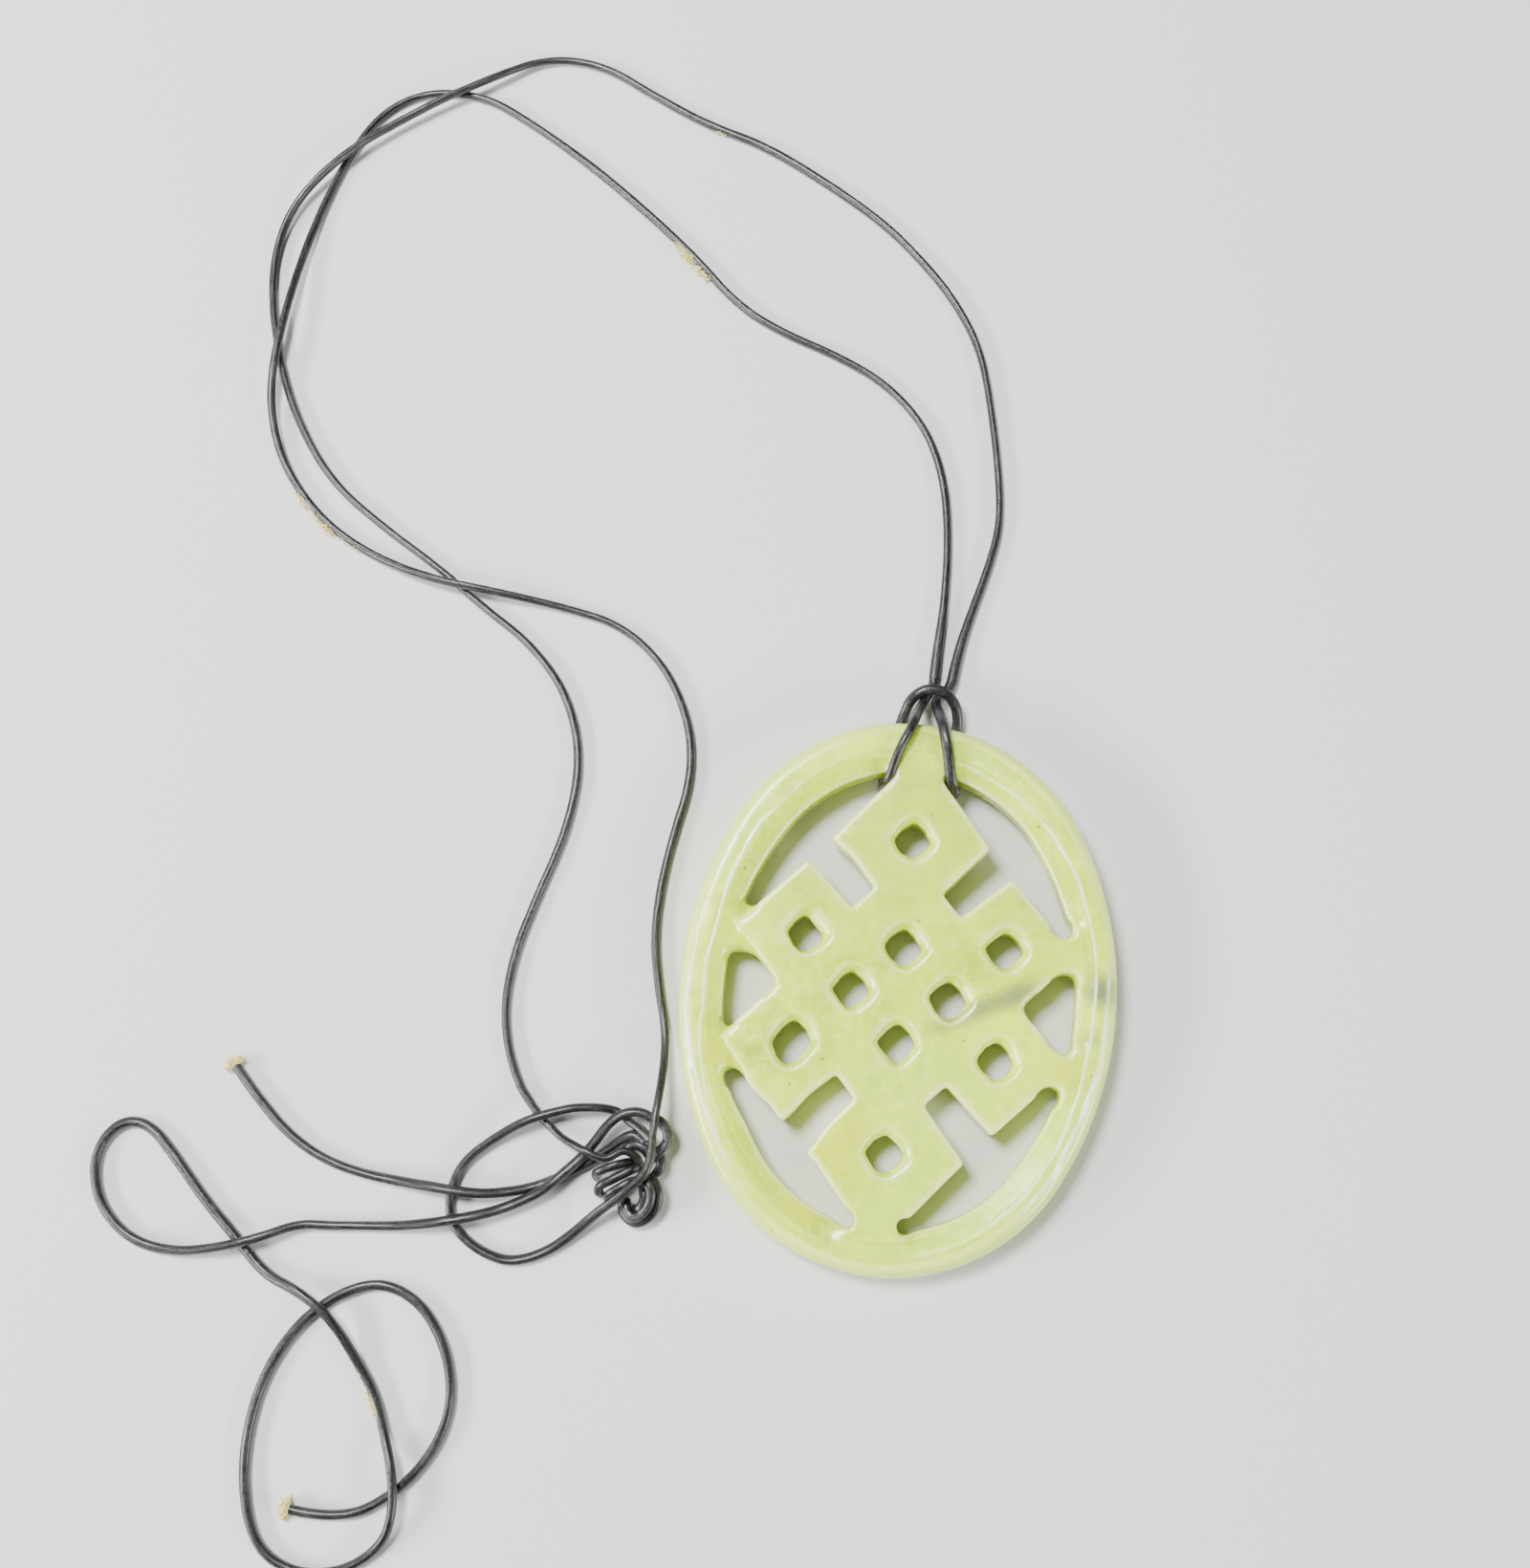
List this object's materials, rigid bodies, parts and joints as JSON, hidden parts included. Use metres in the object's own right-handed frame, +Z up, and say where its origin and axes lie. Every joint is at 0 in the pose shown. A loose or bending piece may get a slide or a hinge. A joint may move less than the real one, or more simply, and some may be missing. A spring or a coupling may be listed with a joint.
{
  "type": "necklace pendant",
  "caption": "Pierced oval jade pendant carved as an endless knot inside a smooth ring, hitched to a long thin leather neck cord with a tied knot and loose tails.",
  "frame": {"origin": "on the surface the piece lies on, below the centre of the jade's bounding box", "axes": "+Z up from the surface, +Y along the jade's long axis towards the end that the cord is hitched round, +X to the right seen from above"},
  "size_m": [0.1407, 0.2303, 0.0088],
  "materials": {
    "jade": "polished, pale yellow-green, slightly translucent, with faint veins and specks",
    "cord_leather": "black, worn, half-gloss round leather",
    "frayed_core": "raw tan fibres, matt"
  },
  "bodies": {
    "root": {"jade_pendant": "jade", "cord_hitch": "cord_leather", "neck_strand_outer": "cord_leather", "neck_strand_inner": "cord_leather", "cord_knot": "cord_leather", "knot_loop": "cord_leather", "tail_short": "cord_leather", "tail_long": "cord_leather", "frayed_end_short": "frayed_core", "frayed_end_long": "frayed_core"}
  },
  "joints": []
}
